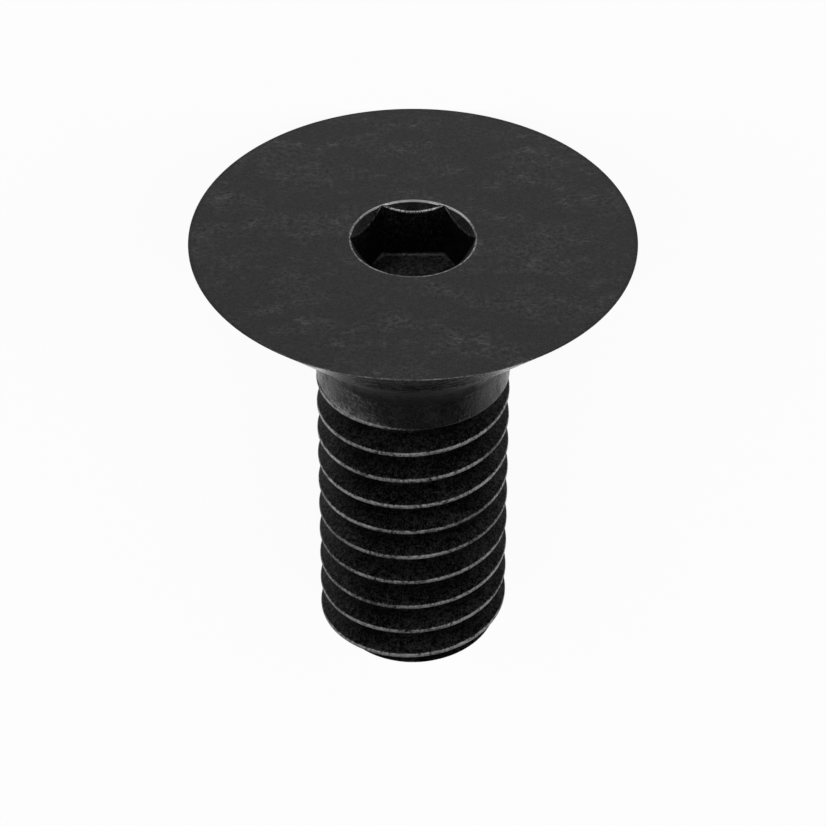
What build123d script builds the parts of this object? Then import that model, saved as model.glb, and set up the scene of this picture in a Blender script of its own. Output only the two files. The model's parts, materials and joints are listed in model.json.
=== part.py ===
from build123d import *

import os
from math import atan2, ceil, cos, radians, sin, tan

# A countersunk socket screw, M4 x 0.7 x 10, formed from one piece of steel.
# It is drawn on its own axis, with the head's flat face at height 0 and the thread below,
# and then laid down as a loose screw comes to rest: on the rim of its head and on a crest
# of its thread.

# Driving dimensions, in millimetres and degrees
head_diameter = 8.96
head_angle = 90  # included angle of the countersunk seat
rim_land = 0.01  # width of the almost sharp edge round the head
overall_length = 10.2  # from the flat face to the tip, as countersunk screws are measured
neck_length = 0.83  # plain shank between the seat and the thread
underhead_fillet = 0.4  # radius where the seat runs into the neck

thread_diameter = 3.98  # over the crests, just inside the nominal 4
thread_pitch = 0.7
flank_angle = 60
thread_start_angle = 75  # where the middle of the groove leaves the neck, counted from +X
tip_angle = 90  # included angle of the chamfered end

socket_across_flats = 2.17
socket_depth = 1.25
mouth_diameter = 2.52  # of the conical lead-in round the hexagon
mouth_angle = 90

# Thread form: flat crests an eighth of the pitch wide and flat roots a sixth of it
crest_width = thread_pitch / 8
root_width = thread_pitch / 6
flank_slope = tan(radians(flank_angle / 2))
thread_depth = (thread_pitch - crest_width - root_width) / 2 / flank_slope

# Profile of the blank
head_radius = head_diameter / 2
shank_radius = thread_diameter / 2
neck_top = -rim_land - (head_radius - shank_radius) / tan(radians(head_angle / 2))
thread_top = neck_top - neck_length
tip_radius = shank_radius - thread_depth
chamfer_top = -overall_length + thread_depth / tan(radians(tip_angle / 2))

with BuildPart() as upright:
    # The shank where it is threaded
    with BuildSketch(Plane.XZ):
        with BuildLine():
            Polyline(
                (0, thread_top),
                (shank_radius, thread_top),
                (shank_radius, chamfer_top),
                (tip_radius, -overall_length),
                (0, -overall_length),
                close=True,
            )
        make_face()
    revolve(axis=Axis.Z)

    # The groove of the right-hand thread. It starts below the tip and runs on above the
    # shank, where there is nothing to cut, so the neck that is added next ends it at a flat
    # step. Its path keeps one edge for each turn, which a builder line would merge.
    turns_below = ceil((thread_top + overall_length) / thread_pitch) + 1
    turns_above = 2
    groove_bottom = thread_top - thread_pitch * (turns_below + thread_start_angle / 360)
    groove_path = Wire(
        Helix(
            pitch=thread_pitch,
            height=thread_pitch,
            radius=shank_radius,
            center=(0, 0, groove_bottom + turn * thread_pitch),
            mode=Mode.PRIVATE,
        )
        for turn in range(turns_below + turns_above)
    )
    groove_start = Plane(origin=groove_path @ 0, x_dir=(1, 0, 0), z_dir=groove_path % 0)
    # The cutter reaches a little past the crests, by less than would make its turns meet
    overhang = crest_width / 4 / flank_slope
    with BuildSketch(groove_start):
        with BuildLine():
            cutter_half_width = root_width / 2 + (thread_depth + overhang) * flank_slope
            Polyline(
                (overhang, cutter_half_width),
                (-thread_depth, root_width / 2),
                (-thread_depth, -root_width / 2),
                (overhang, -cutter_half_width),
                close=True,
            )
        make_face()
    sweep(path=groove_path, is_frenet=True, mode=Mode.SUBTRACT)

    # Neck, conical seat and the flat face of the head
    with BuildSketch(Plane.XZ) as head_profile:
        with BuildLine():
            Polyline(
                (0, thread_top),
                (shank_radius, thread_top),
                (shank_radius, neck_top),
                (head_radius, -rim_land),
                (head_radius, 0),
                (0, 0),
                close=True,
            )
        make_face()
        under_head = head_profile.vertices().sort_by_distance((shank_radius, neck_top))[0]
        fillet(under_head, radius=underhead_fillet)
    revolve(axis=Axis.Z)

    # Hexagon socket, with two of its flats square to Y, and the conical lead-in at its mouth
    with BuildSketch(Plane.XY):
        RegularPolygon(radius=socket_across_flats / 2, side_count=6, major_radius=False)
    extrude(amount=-socket_depth, mode=Mode.SUBTRACT)
    lead_in_radius = socket_across_flats / 4
    lead_in_depth = (mouth_diameter / 2 - lead_in_radius) / tan(radians(mouth_angle / 2))
    with BuildSketch(Plane.XZ):
        with BuildLine():
            Polyline(
                (0, 0),
                (mouth_diameter / 2, 0),
                (lead_in_radius, -lead_in_depth),
                (0, -lead_in_depth),
                close=True,
            )
        make_face()
    revolve(axis=Axis.Z, mode=Mode.SUBTRACT)

# The side that will face down is the one towards +Y. Tipping over the rim's lower edge, the
# screw meets the floor with whichever point of its thread needs the least turn.
underside = section(upright.part, section_by=Plane.YZ)
contact_angles = [
    atan2(head_radius - point.Y, -rim_land - point.Z)
    for point in underside.vertices()
    if point.Y > 0 and point.Z < neck_top
]
tilt = min(contact_angles)

# Laid down: the axis rises by the tilt towards the head, at +X, and two flats of the socket
# stay level. The origin is on the floor, midway between the foremost and hindmost points.
head_height = head_radius * cos(tilt) + rim_land * sin(tilt)
head_reach = head_radius * sin(tilt)
tip_reach = overall_length * cos(tilt) + tip_radius * sin(tilt)
lying = Plane(
    origin=((tip_reach - head_reach) / 2, 0, head_height),
    x_dir=(0, -1, 0),
    z_dir=(cos(tilt), 0, sin(tilt)),
)
with BuildPart() as screw:
    with Locations(lying.location):
        add(upright.part)
screw.part.label = "screw"

os.makedirs("parts", exist_ok=True)
export_step(screw.part, "parts/screw.step")
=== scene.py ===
"""A black oxide countersunk socket screw, lying on a white table under soft studio lamps.

The screw is modelled as it is rolled in the works: as a flat sheet whose X is the angle round
the axis, whose Y is the radius and whose Z is the height, all cut and extruded flat and then
rolled up. Lengths are in millimetres until the finished screw is laid down in the frame.

Each vertex carries two numbers for its finish, with light and shade painted into them.
"worn" is 0 where the oxide is as it was made, 1 where the steel shows through,
which along the crests, the rim, the neck and the socket's mouth is also a painted highlight, more
where a paler painted glint is, and -1 where painted shade darkens the oxide and makes it matt.
"recessed" is 0 on the flat face, about 1 on the seat, the neck and the lead-in of
the socket, and 2 in the thread and on the socket's walls; the more it is, the darker the painted
shade.
"""

import json
from math import ceil, cos, floor, pi, radians, sin, sqrt, tan

import bmesh
import bpy
from mathutils import Matrix, Vector


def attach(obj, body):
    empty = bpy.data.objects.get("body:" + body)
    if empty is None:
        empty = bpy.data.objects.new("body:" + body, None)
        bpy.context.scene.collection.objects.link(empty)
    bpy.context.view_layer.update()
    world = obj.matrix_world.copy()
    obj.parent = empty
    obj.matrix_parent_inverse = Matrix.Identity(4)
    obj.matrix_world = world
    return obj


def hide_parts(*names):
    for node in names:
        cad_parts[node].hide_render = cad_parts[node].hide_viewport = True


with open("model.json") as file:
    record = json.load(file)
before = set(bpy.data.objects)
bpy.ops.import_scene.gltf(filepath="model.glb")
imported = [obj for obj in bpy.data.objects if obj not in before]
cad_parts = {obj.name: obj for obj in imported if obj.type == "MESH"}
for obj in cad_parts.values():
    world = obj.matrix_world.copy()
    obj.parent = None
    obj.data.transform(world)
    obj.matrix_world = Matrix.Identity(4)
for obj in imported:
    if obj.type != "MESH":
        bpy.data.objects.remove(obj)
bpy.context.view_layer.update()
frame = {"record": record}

# ---------------------------------------------------------------- sizes

mm_per_metre = 1000

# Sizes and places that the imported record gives
mounts = {mount["name"]: mount for mount in frame["record"]["mounts"]}
face_centre = Vector(mounts["drive"]["pos_m"])
outward = Vector(mounts["drive"]["axis"])
socket_depth = mounts["drive"]["dims"]["length_mm"]
head_radius = mounts["seat"]["dims"]["r_mm"]
seat_height = mounts["seat"]["dims"]["length_mm"]
shank_radius = mounts["thread"]["dims"]["r_mm"]
thread_length = mounts["thread"]["dims"]["length_mm"]
rim_land = (face_centre - Vector(mounts["seat"]["pos_m"])).length * mm_per_metre
overall_length = (face_centre - Vector(mounts["thread"]["pos_m"])).length * mm_per_metre

# The thread's own sizes
thread_pitch = 0.7
thread_start = radians(75)  # where the middle of the groove leaves the neck
half_flank = radians(30)
crest_half_width = thread_pitch / 16
root_half_width = thread_pitch / 12
thread_depth = (thread_pitch / 2 - crest_half_width - root_half_width) / tan(half_flank)
crest_rounding = 0.055
root_rounding = root_half_width / tan(half_flank)  # the most that the root has room for
tip_radius = shank_radius - thread_depth

# Heights, counted from the flat face at 0
neck_top = -rim_land - seat_height
thread_top = -overall_length + thread_length
tip = -overall_length

# The seat slopes at 45 degrees, so a length along it goes out and up by this share
seat_slope = sqrt(0.5)

# The socket's own sizes
flat_distance = 2.17 / 2
mouth_radius = 2.52 / 2

# Rounded edges, each given by how far it reaches along the faces that meet there
neck_rounding = 0.018
underhead_fillet = 0.4
underhead_rounding = underhead_fillet * tan(pi / 8)
rim_rounding = 0.006
mouth_rounding = 0.022
lead_in_rounding = 0.02
floor_rounding = 0.025
tip_rounding = 0.01

# The lead-in all but vanishes at the hexagon's corners, so what is rounded at its outer and
# its inner edge is at most these shares of its depth
outer_share = 0.3
inner_share = 0.25

# How far past a rounded edge its wear and painted light have faded out, or the next kind of finish
# begins
neck_edge_fade = 0.03
neck_fade = 0.25
underhead_fade = 0.05
seat_edge_fade = 0.05
rim_fade = 0.1
mouth_fade = 0.012
lead_in_fade = 1.3  # as a multiple of the rounded edge itself
wall_top_fade = 0.008
wall_foot_fade = 0.1
floor_fade = 0.06
tip_fade = 0.05

# How many rings of faces the flat face has, and how far they stay from its two edges
face_rings = 9
rim_margin = 0.15
mouth_margin = 0.1

# Stretches round the axis that the painted highlights and painted shade favour: the angle of the
# middle of each, counted from the head's right to its far side, and how far it reaches each way at
# full strength
neck_edge_stretch = (radians(237), radians(20))
neck_stretch = (radians(228), radians(14))
front_stretch = (radians(270), radians(25))
far_half = (radians(90), radians(60))
far_mouth = (radians(83), radians(35))
far_facet = (radians(90), radians(32))
far_lead_in = (radians(90), radians(20))
right_lead_in = (radians(30), radians(20))

# The sheet has this many columns in a turn, and its rows are whole steps apart. A step is
# what the helix rises from one column to the next.
columns = 192
column_angle = 2 * pi / columns
row_step = thread_pitch / columns

# How many steps apart the rows are, and how far round a crest and a root they are close
crest_reach = 18
crest_spacing = 3
root_reach = 24
root_spacing = 4
flank_spacing = 12

# Wear of the thread with a painted highlight in it: how strong it is along the crests and on the
# edge of the tip's chamfer, and where it lies across the thread, in steps above the middle of a
# crest; then where the painted shade of the root begins and how far it fades in
crest_wear_and_highlight = 0.76
chamfer_edge_wear_and_highlight = 0.6
bright_band_middle = 5
bright_band_reach = 5
bright_band_fade_headward = 7
bright_band_fade_tipward = 25
painted_root_shade_start = 24
painted_root_shade_fade = 56

# The sheet is cut off this far above the tip, and closed again by rows of its own
tip_trim = 0.018

# Tolerances of the cuts and of the columns' angles, and what is welded together at the end
cut_tolerance = 1e-3
angle_tolerance = 1e-4
weld_distance = 5e-4
sliver_length = 1e-5

# Edges that turn by more than this aren't shaded smooth
sharp_angle = radians(40)

# ---------------------------------------------------------------- the sheet


def between_0_and_1(number):
    return min(max(number, 0), 1)


def above_crest(step):
    """How many steps a row lies above the middle of the nearest crest, or below if negative."""
    return (step + columns // 2) % columns - columns // 2


def thread_radius(height):
    """The radius over the thread at a height counted from the middle of a crest."""
    away = abs((height + thread_pitch / 2) % thread_pitch - thread_pitch / 2)
    crest_arc = crest_half_width - crest_rounding * tan(half_flank)
    if away < crest_arc:
        return shank_radius
    if away < crest_arc + crest_rounding * cos(half_flank):
        return shank_radius - crest_rounding + sqrt(crest_rounding**2 - (away - crest_arc) ** 2)
    root_arc = thread_pitch / 2 - root_half_width + root_rounding * tan(half_flank)
    if away < root_arc - root_rounding * cos(half_flank):
        return shank_radius - (away - crest_half_width) / tan(half_flank)
    return tip_radius + root_rounding - sqrt(root_rounding**2 - (root_arc - away) ** 2)


def thread_rows(lowest, highest):
    """Whole steps from the middle of a crest at which the sheet has a row: close together on
    the rounded crests and roots, and far apart on the straight flanks."""
    for step in range(lowest, highest + 1):
        away = abs(above_crest(step))
        on_crest = away <= crest_reach and away % crest_spacing == 0
        on_root = away >= columns // 2 - root_reach and away % root_spacing == 0
        on_flank = away % flank_spacing == 0
        if on_crest or on_root or on_flank:
            yield step


def thread_wear_and_painted_light(step):
    """How much wear and painted light the thread has at a number of steps above the middle of a
    crest: a bright band of wear with a painted highlight in it along the crest's edge towards the
    head, which frays out towards the tip, and painted shade, made matt, down in the root."""
    above = above_crest(step)
    fade = bright_band_fade_headward if above > bright_band_middle else bright_band_fade_tipward
    bright_band = between_0_and_1((bright_band_reach + fade - abs(above - bright_band_middle)) / fade)
    matt_painted_shade = between_0_and_1((abs(above) - painted_root_shade_start) / painted_root_shade_fade)
    return crest_wear_and_highlight * bright_band - matt_painted_shade


def cut_sheet(sheet, point, normal, **cleared):
    """Cuts the whole sheet along a plane, and gives the vertices that lie on the cut."""
    cut = bmesh.ops.bisect_plane(
        sheet, geom=sheet.verts[:] + sheet.edges[:] + sheet.faces[:], dist=cut_tolerance,
        plane_co=point, plane_no=normal, **cleared,
    )
    return [part for part in cut["geom_cut"] if isinstance(part, bmesh.types.BMVert)]


def thread_sheet():
    """The threaded shank, cut off square at the neck and to a cone at the tip."""
    sheet = bmesh.new()
    # The two numbers of the finish: wear that also carries painted highlights and painted shade,
    # and painted shade that deepens into the thread and the socket
    worn = sheet.verts.layers.float.new("worn")
    recessed = sheet.verts.layers.float.new("recessed")
    # The nearest crest below the neck, at angle 0, in steps below the top of the thread
    crest_below = round((thread_pitch / 2 + thread_pitch * thread_start / (2 * pi)) / row_step)
    # The rows run on past both ends, because the sheet rises by a pitch over its one turn
    lowest = crest_below - columns - ceil(thread_length / row_step) - columns
    chain = []
    for step in thread_rows(lowest, crest_below + columns // 12):
        height = thread_top + (step - crest_below) * row_step
        vert = sheet.verts.new((0, thread_radius(step * row_step), height))
        vert[worn] = thread_wear_and_painted_light(step)
        # The whole thread gets the deepest painted shade
        vert[recessed] = 2
        chain.append(vert)
    edges = [sheet.edges.new(pair) for pair in zip(chain, chain[1:])]
    # One turn of the helix, as one step up for each column
    bmesh.ops.spin(
        sheet, geom=chain + edges, cent=(0, 0, 0), axis=(0, 1, 0),
        dvec=(column_angle, 0, row_step), angle=0, steps=columns,
    )
    cut_sheet(sheet, (0, 0, thread_top), (0, 0, 1), clear_outer=True)
    # The chamfer of the tip: what stands out of its cone is pressed back onto it
    chamfer_edge = cut_sheet(sheet, (0, tip_radius, tip), (0, 1, -1))
    for vert in sheet.verts:
        cone = tip_radius + vert.co.z + overall_length
        if vert.co.y > cone:
            vert.co.y = cone
            vert[worn] = 0
    # The chamfer's edge is worn, and there the wear stands in for a painted highlight too
    for vert in chamfer_edge:
        vert[worn] = chamfer_edge_wear_and_highlight
    end_step = floor((thread_length - tip_trim) / row_step)
    cut_sheet(sheet, (0, 0, thread_top - end_step * row_step), (0, 0, 1), clear_inner=True)
    return sheet


# ---------------------------------------------------------------- profiles


def soft_corner(before, corner, after, segments=3):
    """Points round a corner of a profile, from one side to the other."""
    points = []
    for index in range(segments + 1):
        along = index / segments
        near, mid, far = (1 - along) ** 2, 2 * along * (1 - along), along**2
        points.append(tuple(
            near * a + mid * b + far * c for a, b, c in zip(before, corner, after)
        ))
    return points


def rows_at(points, worn, recessed):
    """The rows at some points of a profile, all with the same wear and painted light and the same
    painted shade.
    """
    return [(radius, height, worn, recessed) for radius, height in points]


def hexagon_radius(angle):
    """The distance of the socket's wall from the axis, with flats square to Y."""
    return flat_distance / cos(angle % (pi / 3) - pi / 6)


def within(angle, stretch):
    """1 at an angle within a stretch, fading to 0 at twice its reach from its middle."""
    middle, reach = stretch
    away = abs((angle - middle + pi) % (2 * pi) - pi)
    return between_0_and_1(2 - away / reach)


def neck_and_head_rows(angle):
    """The profile from the top of the thread to the flat face near the mouth of the socket.
    A row is a radius, a height, its wear and painted light, and its painted shade."""
    # Where a crest runs into the neck, the neck's rounded edge doesn't go further in than it
    thread_edge = thread_radius(thread_pitch * (0.5 + (thread_start - angle) / (2 * pi)))
    neck_edge = soft_corner(
        (shank_radius - neck_rounding, thread_top),
        (shank_radius, thread_top),
        (shank_radius, thread_top + neck_rounding),
    )
    neck_edge = [(max(radius, thread_edge), height) for radius, height in neck_edge]
    along_seat = underhead_rounding * seat_slope
    underhead = soft_corner(
        (shank_radius, neck_top - underhead_rounding),
        (shank_radius, neck_top),
        (shank_radius + along_seat, neck_top + along_seat),
        segments=8,
    )
    seat_middle = (head_radius + shank_radius) / 2
    along_seat = rim_rounding * seat_slope
    rim = soft_corner(
        (head_radius - along_seat, -rim_land - along_seat),
        (head_radius, -rim_land / 2),
        (head_radius - rim_rounding, 0),
        segments=5,
    )
    outer = head_radius - rim_margin
    inner = mouth_radius + mouth_margin
    rings = [outer + (inner - outer) * ring / face_rings for ring in range(face_rings + 1)]

    # The neck's edge and its face have a little wear all round, with a painted highlight on the
    # edge and a painted sheen up the face at the left of its front
    neck_edge_wear_and_highlight = 0.12 + 0.75 * within(angle, neck_edge_stretch)
    left = within(angle, neck_stretch)
    low_neck_wear_and_sheen = 0.25 + 0.2 * left
    mid_neck_wear_and_sheen = 0.12 + 0.3 * left
    high_neck_painted_sheen = 0.35 * left
    # Painted shade darkens the corner under the head, most of all at the front; the rim has
    # painted shade too except at the front, where it has a painted highlight
    front = within(angle, front_stretch)
    underhead_painted_shade = 0.3 + 0.7 * front
    rim_painted_highlight = 0.5 * front
    rim_painted_shade = 1 - 0.7 * front
    rim_width = rim_fade * (1 - 0.7 * front)
    rim_bright_width = 0.6 * rim_width
    return [
        *rows_at(neck_edge, neck_edge_wear_and_highlight, 1),
        (shank_radius, thread_top + neck_edge_fade, low_neck_wear_and_sheen, 1),
        (shank_radius, thread_top + neck_fade, mid_neck_wear_and_sheen, 1),
        (shank_radius, neck_top - underhead_rounding - underhead_fade, high_neck_painted_sheen, 1),
        *rows_at(underhead, -underhead_painted_shade, 1),
        (seat_middle, neck_top + seat_middle - shank_radius, 0, 1),
        (head_radius - seat_edge_fade, -rim_land - seat_edge_fade, 0, 1),
        *rows_at(rim, rim_painted_highlight, rim_painted_shade),
        (head_radius - rim_bright_width, 0, rim_painted_highlight, rim_painted_shade),
        (head_radius - rim_width, 0, 0, 0),
        *rows_at([(radius, 0) for radius in rings], 0, 0),
    ]


def socket_rows(angle):
    """The profile from the mouth of the socket to the middle of its floor, in such rows."""
    wall = hexagon_radius(angle)
    lead_in = mouth_radius - wall
    floor_height = -socket_depth
    # The rounded mouth reaches less far onto the flat face on its far half
    mouth_reach = mouth_rounding * (1 - 0.7 * within(angle, far_half))
    reach = min(mouth_rounding, outer_share * lead_in)
    edge_reach = min(lead_in_rounding, inner_share * lead_in)
    mouth = soft_corner(
        (mouth_radius + mouth_reach, 0), (mouth_radius, 0), (mouth_radius - reach, -reach),
        segments=4,
    )
    wall_edge = soft_corner(
        (wall + edge_reach, edge_reach - lead_in), (wall, -lead_in), (wall, -lead_in - edge_reach),
    )
    floor_edge = soft_corner(
        (wall, floor_height + floor_rounding),
        (wall, floor_height),
        (wall - floor_rounding, floor_height),
    )
    faded = lead_in_fade * reach
    edge_faded = lead_in_fade * edge_reach

    # The edges of the mouth and of the lead-in are worn all round, with painted highlights at
    # their far side, the mouth's brightest as a paler painted glint, and a little more on the
    # lead-in's edge at the right
    mouth_wear_and_highlight = 0.8 - 0.3 * within(angle, far_half) + 1.45 * within(angle, far_mouth)
    wall_edge_wear_and_highlight = (
        0.25 + 0.75 * within(angle, far_lead_in) + 0.1 * within(angle, right_lead_in)
    )
    # Painted shade makes the facets of the lead-in at the sides darker and more matt than the far
    # one; the floor's edge is worn, with a painted highlight at the far side, and the floor is
    # painted lighter than the walls under a little painted shade
    far = within(angle, far_facet)
    facet_painted_shade = 1.6 - 0.6 * far
    facet_painted_matt_shade = 0.55 * (1 - far)
    floor_edge_wear_and_highlight = 0.15 + 0.45 * far
    floor_painted_light = 0.38
    floor_painted_shade = 0.3
    return [
        (mouth_radius + mouth_reach + mouth_fade, 0, 0, 0),
        *rows_at(mouth, mouth_wear_and_highlight, 0),
        (mouth_radius - faded, -faded, -facet_painted_matt_shade, facet_painted_shade),
        (wall + edge_faded, edge_faded - lead_in, -facet_painted_matt_shade, facet_painted_shade),
        *rows_at(wall_edge, wall_edge_wear_and_highlight, 1),
        (wall, -lead_in - edge_reach - wall_top_fade, 0, 2),
        (wall, floor_height + wall_foot_fade, 0, 2),
        *rows_at(floor_edge, floor_edge_wear_and_highlight, 0.5),
        (wall - floor_fade, floor_height, floor_painted_light, floor_painted_shade),
        (wall / 2, floor_height, floor_painted_light, floor_painted_shade),
        (0, floor_height, floor_painted_light, floor_painted_shade),
    ]


def tip_rows(angle):
    """The profile from the chamfer of the tip to the middle of the end, in such rows. It is
    the same at every angle."""
    edge_rubbed = 0.4
    # The flat end gets half as much painted shade as the neck
    end_painted_shade = 0.5
    return [
        (tip_radius + 0.1 * tip_rounding, tip + 0.4 * tip_rounding, edge_rubbed, 1),
        (tip_radius - tip_rounding, tip, edge_rubbed, 1),
        (tip_radius - tip_fade, tip, 0, end_painted_shade),
        (tip_radius / 2, tip, 0, end_painted_shade),
        (0, tip, 0, end_painted_shade),
    ]


# ---------------------------------------------------------------- the screw


def extrude_rows(sheet, edge, profile):
    """Carries an open edge of the sheet on along a profile, one row for each of its points."""
    worn = sheet.verts.layers.float["worn"]
    recessed = sheet.verts.layers.float["recessed"]
    rows = {}
    for vert in {vert for side in edge for vert in side.verts}:
        rows[vert.co.x] = profile(vert.co.x)
    for row in range(len(profile(0))):
        grown = bmesh.ops.extrude_edge_only(sheet, edges=edge)["geom"]
        new_verts = {part for part in grown if isinstance(part, bmesh.types.BMVert)}
        for vert in new_verts:
            vert.co.y, vert.co.z, vert[worn], vert[recessed] = rows[vert.co.x][row]
        edge = [
            part for part in grown
            if isinstance(part, bmesh.types.BMEdge) and set(part.verts) <= new_verts
        ]


def open_edge(sheet, lowest, highest):
    """The edges at an open end of the sheet between two heights, without those at its sides,
    which meet when it is rolled up."""
    return [
        edge for edge in sheet.edges
        if edge.is_boundary and all(lowest < vert.co.z < highest for vert in edge.verts)
        and abs(edge.verts[0].co.x - edge.verts[1].co.x) > angle_tolerance
    ]


def settle_order(sheet):
    """Lists the edges and faces by their vertices, as the spin leaves them in a chance order."""
    sheet.verts.index_update()
    for parts in (sheet.edges, sheet.faces):
        settled = sorted(parts, key=lambda part: sorted(vert.index for vert in part.verts))
        for index, part in enumerate(settled):
            part.index = index
        parts.sort()


def roll_up(sheet):
    """Rolls the flat sheet round the axis and closes its seam and its two poles."""
    for vert in sheet.verts:
        angle, radius, height = vert.co
        vert.co = (radius * cos(angle), radius * sin(angle), height)
    bmesh.ops.remove_doubles(sheet, verts=sheet.verts, dist=weld_distance)
    bmesh.ops.dissolve_degenerate(sheet, edges=sheet.edges, dist=sliver_length)
    settle_order(sheet)
    bmesh.ops.recalc_face_normals(sheet, faces=sheet.faces)


def lie_down():
    """From the upright screw in millimetres to the frame in metres."""
    right = Vector((0, -1, 0))
    turn = Matrix((right, outward.cross(right), outward)).transposed()
    place = Matrix.Translation(face_centre)
    return place @ turn.to_4x4() @ Matrix.Scale(1 / mm_per_metre, 4)


def make_screw():
    sheet = thread_sheet()
    neck_edge = open_edge(sheet, thread_top - cut_tolerance, thread_top + cut_tolerance)
    extrude_rows(
        sheet, neck_edge, lambda angle: neck_and_head_rows(angle) + socket_rows(angle)
    )
    tip_edge = open_edge(sheet, tip, tip + 2 * tip_trim)
    extrude_rows(sheet, tip_edge, tip_rows)
    roll_up(sheet)
    sheet.transform(lie_down())
    for edge in sheet.edges:
        edge.smooth = edge.calc_face_angle(0) < sharp_angle
    for face in sheet.faces:
        face.smooth = True
    mesh = bpy.data.meshes.new("socket_screw")
    sheet.to_mesh(mesh)
    sheet.free()
    screw = bpy.data.objects.new("socket_screw", mesh)
    bpy.context.scene.collection.objects.link(screw)
    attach(screw, "root")
    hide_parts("screw")
    return screw


screw = make_screw()

# ---------------------------------------------------------------- finishes


class Value:
    """What a node gives out, on which arithmetic adds Math nodes."""

    def __init__(self, nodes, socket):
        self.nodes = nodes
        self.socket = socket

    def math(self, operation, *inputs):
        return self.nodes.add("ShaderNodeMath", {"operation": operation}, dict(enumerate(inputs)))

    def __add__(self, other):
        return self.math("ADD", self, other)

    def __mul__(self, other):
        return self.math("MULTIPLY", self, other)

    def __sub__(self, other):
        return self.math("SUBTRACT", self, other)

    def __rsub__(self, other):
        return self.math("SUBTRACT", other, self)

    __radd__ = __add__
    __rmul__ = __mul__

    def far_from(self, level):
        return self.math("ABSOLUTE", self - level)

    def at_least(self, other):
        return self.math("MAXIMUM", self, other)

    def between(self, low, high):
        """0 below low, 1 above high, and a smooth rise from one to the other."""
        return self.nodes.add(
            "ShaderNodeMapRange", {"interpolation_type": "SMOOTHSTEP"},
            {"Value": self, "From Min": low, "From Max": high},
        )


class Nodes:
    """The nodes of a material or of a world, added one by one."""

    def __init__(self, owner):
        owner.use_nodes = True
        self.tree = owner.node_tree
        self.tree.nodes.clear()

    def add(self, kind, settings=None, inputs=None, output=0):
        """Adds a node, sets it, fills its sockets with values or links, and gives an output."""
        node = self.tree.nodes.new(kind)
        for name, setting in (settings or {}).items():
            setattr(node, name, setting)
        for key, given in (inputs or {}).items():
            if isinstance(given, Value):
                self.tree.links.new(given.socket, node.inputs[key])
            else:
                node.inputs[key].default_value = given
        return Value(self, node.outputs[output])

    def surface(self, shader, output="ShaderNodeOutputMaterial"):
        """Makes a shader what the material or the world shows."""
        end = self.tree.nodes.new(output)
        self.tree.links.new(shader.socket, end.inputs["Surface"])

    def attribute(self, name):
        return self.add("ShaderNodeAttribute", {"attribute_name": name}, output="Fac")

    def scaled(self, where, scale):
        """Places at which a pattern is squeezed along each axis, or drawn out below 1."""
        return self.add("ShaderNodeMapping", {"vector_type": "POINT"}, {
            "Vector": where, "Scale": scale,
        })

    def noise(self, where, scale, detail=2, roughness=0.5, distortion=0):
        return self.add("ShaderNodeTexNoise", {}, {
            "Vector": where, "Scale": scale, "Detail": detail,
            "Roughness": roughness, "Distortion": distortion,
        })

    def blend(self, amount, first, second):
        """A colour that goes from the first to the second."""
        factor_socket, first_socket, second_socket, colour_socket = 0, 6, 7, 2
        return self.add("ShaderNodeMix", {"data_type": "RGBA"}, {
            factor_socket: amount, first_socket: first, second_socket: second,
        }, output=colour_socket)

    def times(self, colour, amount):
        """A colour made darker or lighter by an amount."""
        return self.add("ShaderNodeVectorMath", {"operation": "SCALE"}, {
            0: colour, "Scale": amount,
        })


def grey(level, warmth=0.0):
    """A grey in linear light, a little redder if it is warm."""
    return (level * (1 + warmth), level, level * (1 - warmth), 1)


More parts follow.
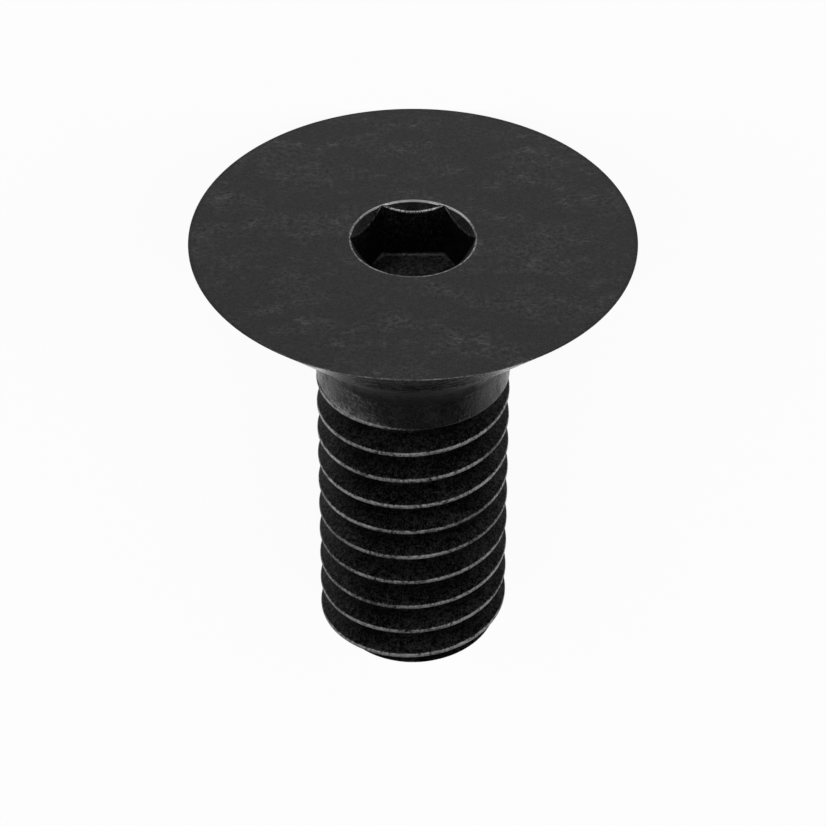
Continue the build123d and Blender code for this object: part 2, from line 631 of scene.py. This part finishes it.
def black_oxide():
    """Black oxide on steel: charcoal where it is exposed, with painted shade that takes it to deep
    black on the neck, the seat, in the thread and in the socket; mottled with paler patches of
    coarse grain; and grey steel along the edges, where the wear also stands in for painted
    highlights, with a paler painted glint at the far side of the socket's mouth."""
    exposed_oxide = grey(0.0255, warmth=0.01)
    painted_shade_oxide = grey(0.002)
    painted_deep_shade_oxide = grey(0.0125)
    pale_stroke = grey(0.08)
    wiped_oxide = grey(0.03)
    wear_and_highlight_steel = grey(0.34)
    painted_glint_steel = grey(0.65)
    relief_height = 0.03

    material = bpy.data.materials.new("black_oxide")
    nodes = Nodes(material)

    # Patterns are laid out in millimetres on the upright screw, with its axis along Z
    upright = lie_down().inverted()
    where = nodes.add("ShaderNodeTexCoord", output="Object")
    where = nodes.add("ShaderNodeMapping", {"vector_type": "POINT"}, {
        "Vector": where,
        "Location": upright.translation,
        "Rotation": upright.to_euler(),
        "Scale": (mm_per_metre, mm_per_metre, mm_per_metre),
    })
    across = nodes.scaled(where, (1, 2.2, 2.2))
    upwards = nodes.scaled(where, (1, 1, 0.5))

    worn = nodes.attribute("worn")
    recessed = nodes.attribute("recessed")
    # Where the painted shade is deepest: in the thread, on the socket's walls and partly on the
    # lead-in's side facets
    deep = (recessed - 1).between(0, 1)
    matt_painted_shade = (0 - worn).between(0, 1)
    # A paler painted glint where the first number goes past 1, at the far side of the socket's
    # mouth
    painted_glint = (worn - 1).between(0, 1)

    # Paler patches, with a coarse grain and short bright strokes in them
    patches = nodes.noise(across, 0.55, detail=4, roughness=0.6).between(0.44, 0.6)
    grain = nodes.noise(where, 10, detail=4, roughness=0.75) - 0.5
    fine_grain = nodes.noise(where, 26, detail=2, roughness=0.6) - 0.5
    mottle = grain * (patches * 1.1 + deep * 0.5 + 0.7) + fine_grain * (deep + 0.7)
    long_strokes = nodes.noise(across, 1.4, detail=3, roughness=0.55, distortion=0.9)
    long_strokes = 1 - long_strokes.far_from(0.5).between(0, 0.025)
    short_strokes = nodes.noise(across, 3.5, detail=2, roughness=0.5, distortion=0.5)
    short_strokes = 1 - short_strokes.far_from(0.52).between(0, 0.06)
    broken = nodes.noise(where, 3.2, detail=2).between(0.46, 0.62)
    strokes = (long_strokes + short_strokes * 0.6) * broken * (patches * 0.8 + 0.2)

    # Specks and wiped smears, for the recessed faces
    smears = nodes.noise(upwards, 4.5, detail=5, roughness=0.7).between(0.46, 0.68)
    specks = nodes.noise(where, 18, detail=3, roughness=0.65).between(0.44, 0.66)
    specks = specks * (patches + 0.5)

    # The oxide's colour, with its painted shade, strokes, smears and specks
    tone = mottle * (deep * 3 + 3.6) + patches * 0.26 + 0.83
    # Painted shade: with the second number the oxide goes towards near black
    oxide = nodes.blend(recessed, exposed_oxide, painted_shade_oxide)
    # Deepest down, the painted shade turns to a dull dark metal colour
    oxide = nodes.blend(deep, oxide, painted_deep_shade_oxide)
    # The darker painted shade of the thread's roots, under the head and on the lead-in's side
    # facets
    oxide = nodes.times(oxide, tone.at_least(0.05) * (1 - matt_painted_shade * 0.7))
    oxide = nodes.blend(strokes * (1 - recessed) * 0.8, oxide, pale_stroke)
    oxide = nodes.blend(smears * recessed * (1 - deep) * 0.11, oxide, wiped_oxide)
    oxide = nodes.blend(specks * (recessed + deep * 2) * 0.12, oxide, wiped_oxide)

    # Grey steel along the worn edges, broken up; the same grey also stands in as painted
    # highlights along the crests, the rim, the neck and the socket's edges
    ragged = nodes.noise(where, 13, detail=4, roughness=0.75) * 3.2 - 0.65
    uneven = nodes.noise(where, 0.9, detail=2).between(0.25, 0.7) * 0.6 + 0.55
    wear_and_highlight = (worn * ragged * uneven).between(0.2, 1.0)
    steel = nodes.blend(painted_glint, wear_and_highlight_steel, painted_glint_steel)

    # Deep down, painted shade makes the oxide a dull dark metal, and the darker painted shade of
    # the roots, under the head and on the lead-in's side facets is matt
    wiped = (smears - 0.5) * recessed * (1 - deep)
    roughness = (
        (grain + wiped) * 0.3 - recessed * 0.16 + deep * 0.42 + matt_painted_shade * (1 - deep) * 0.45 + 0.45
    )
    metallic = (deep - wear_and_highlight * 3).at_least(wear_and_highlight * 0.9)
    relief = (mottle + smears * 0.2) * (recessed * 0.4 - deep * 0.6 + 0.1) + strokes * 0.1
    bump = nodes.add("ShaderNodeBump", {}, {
        "Strength": 0.8, "Distance": relief_height / mm_per_metre, "Height": relief,
    })
    nodes.surface(nodes.add("ShaderNodeBsdfPrincipled", {}, {
        "Base Color": nodes.blend(wear_and_highlight, oxide, steel),
        "Roughness": roughness - wear_and_highlight * 0.1,
        "Metallic": metallic,
        "Specular IOR Level": 0.16,
        "Normal": bump,
    }))
    return material


def white_table():
    """White that the camera and the metal see as almost even, with a soft shadow."""
    glow_share = 0.94
    material = bpy.data.materials.new("white_table")
    nodes = Nodes(material)
    paper = nodes.add("ShaderNodeBsdfDiffuse", {}, {"Color": grey(0.9)})
    glow = nodes.add("ShaderNodeEmission", {}, {"Color": grey(1), "Strength": 1})
    seen = nodes.add("ShaderNodeLightPath", output="Is Camera Ray")
    mirrored = nodes.add("ShaderNodeLightPath", output="Is Glossy Ray")
    nodes.surface(nodes.add("ShaderNodeMixShader", {}, {
        0: (seen + mirrored) * glow_share, 1: paper, 2: glow,
    }))
    return material


screw.data.materials.append(black_oxide())

# ---------------------------------------------------------------- table, lamps and camera

# The table and the lamps, in metres
table_reach = 0.5
lamp_size = 0.24
lamp_distance = 0.25
screw_middle = Vector((0, 0, 0.004))

# The camera, on the upright screw: its distance from the middle of the face in millimetres,
# the angle that it stands above the face, and the angle that it looks down by
camera_distance = 15.637 * head_radius
camera_rise = radians(36.970)
camera_dip = radians(39.826)
camera_lens = 153.14
camera_sensor = 36
camera_nearest = 0.001  # in metres


def make_table():
    sheet = bmesh.new()
    bmesh.ops.create_grid(sheet, x_segments=1, y_segments=1, size=table_reach)
    mesh = bpy.data.meshes.new("table")
    sheet.to_mesh(mesh)
    sheet.free()
    table = bpy.data.objects.new("table", mesh)
    bpy.context.scene.collection.objects.link(table)
    return table


table = make_table()
table.data.materials.append(white_table())


def make_camera():
    """Looks down on the head from beside it, as on a screw that stands on the table."""
    stand = Vector((0, -camera_distance * cos(camera_rise), camera_distance * sin(camera_rise)))
    right = Vector((1, 0, 0))
    ahead = Vector((0, cos(camera_dip), -sin(camera_dip)))
    turn = Matrix((right, right.cross(ahead), -ahead)).transposed()
    placed = lie_down() @ Matrix.Translation(stand) @ turn.to_4x4()
    data = bpy.data.cameras.new("camera")
    data.lens = camera_lens
    data.sensor_width = camera_sensor
    data.clip_start = camera_nearest
    camera = bpy.data.objects.new("camera", data)
    camera.matrix_world = Matrix.LocRotScale(placed.translation, placed.to_quaternion(), None)
    bpy.context.scene.collection.objects.link(camera)
    bpy.context.scene.camera = camera


make_camera()


def make_lamp(name, direction, power):
    """A round soft lamp that faces the middle of the screw."""
    data = bpy.data.lights.new(name, "AREA")
    data.shape = "DISK"
    data.size = lamp_size
    data.energy = power
    lamp = bpy.data.objects.new(name, data)
    outwards = Vector(direction).normalized()
    facing = outwards.to_track_quat("Z", "Y")
    place = screw_middle + outwards * lamp_distance
    lamp.matrix_world = Matrix.LocRotScale(place, facing, None)
    bpy.context.scene.collection.objects.link(lamp)


make_lamp("left_lamp", (0.15, 0.6, 0.8), power=0.3)
make_lamp("right_lamp", (0.15, -0.6, 0.8), power=0.3)


def make_studio():
    """A dim room that the camera sees as white."""
    world = bpy.data.worlds.new("studio")
    nodes = Nodes(world)
    room = nodes.add("ShaderNodeBackground", {}, {"Color": grey(0.15)})
    backdrop = nodes.add("ShaderNodeBackground", {}, {"Color": grey(0.95)})
    seen = nodes.add("ShaderNodeLightPath", output="Is Camera Ray")
    shown = nodes.add("ShaderNodeMixShader", {}, {0: seen, 1: room, 2: backdrop})
    nodes.surface(shown, output="ShaderNodeOutputWorld")
    bpy.context.scene.world = world


make_studio()
bpy.context.scene.view_settings.view_transform = "Standard"
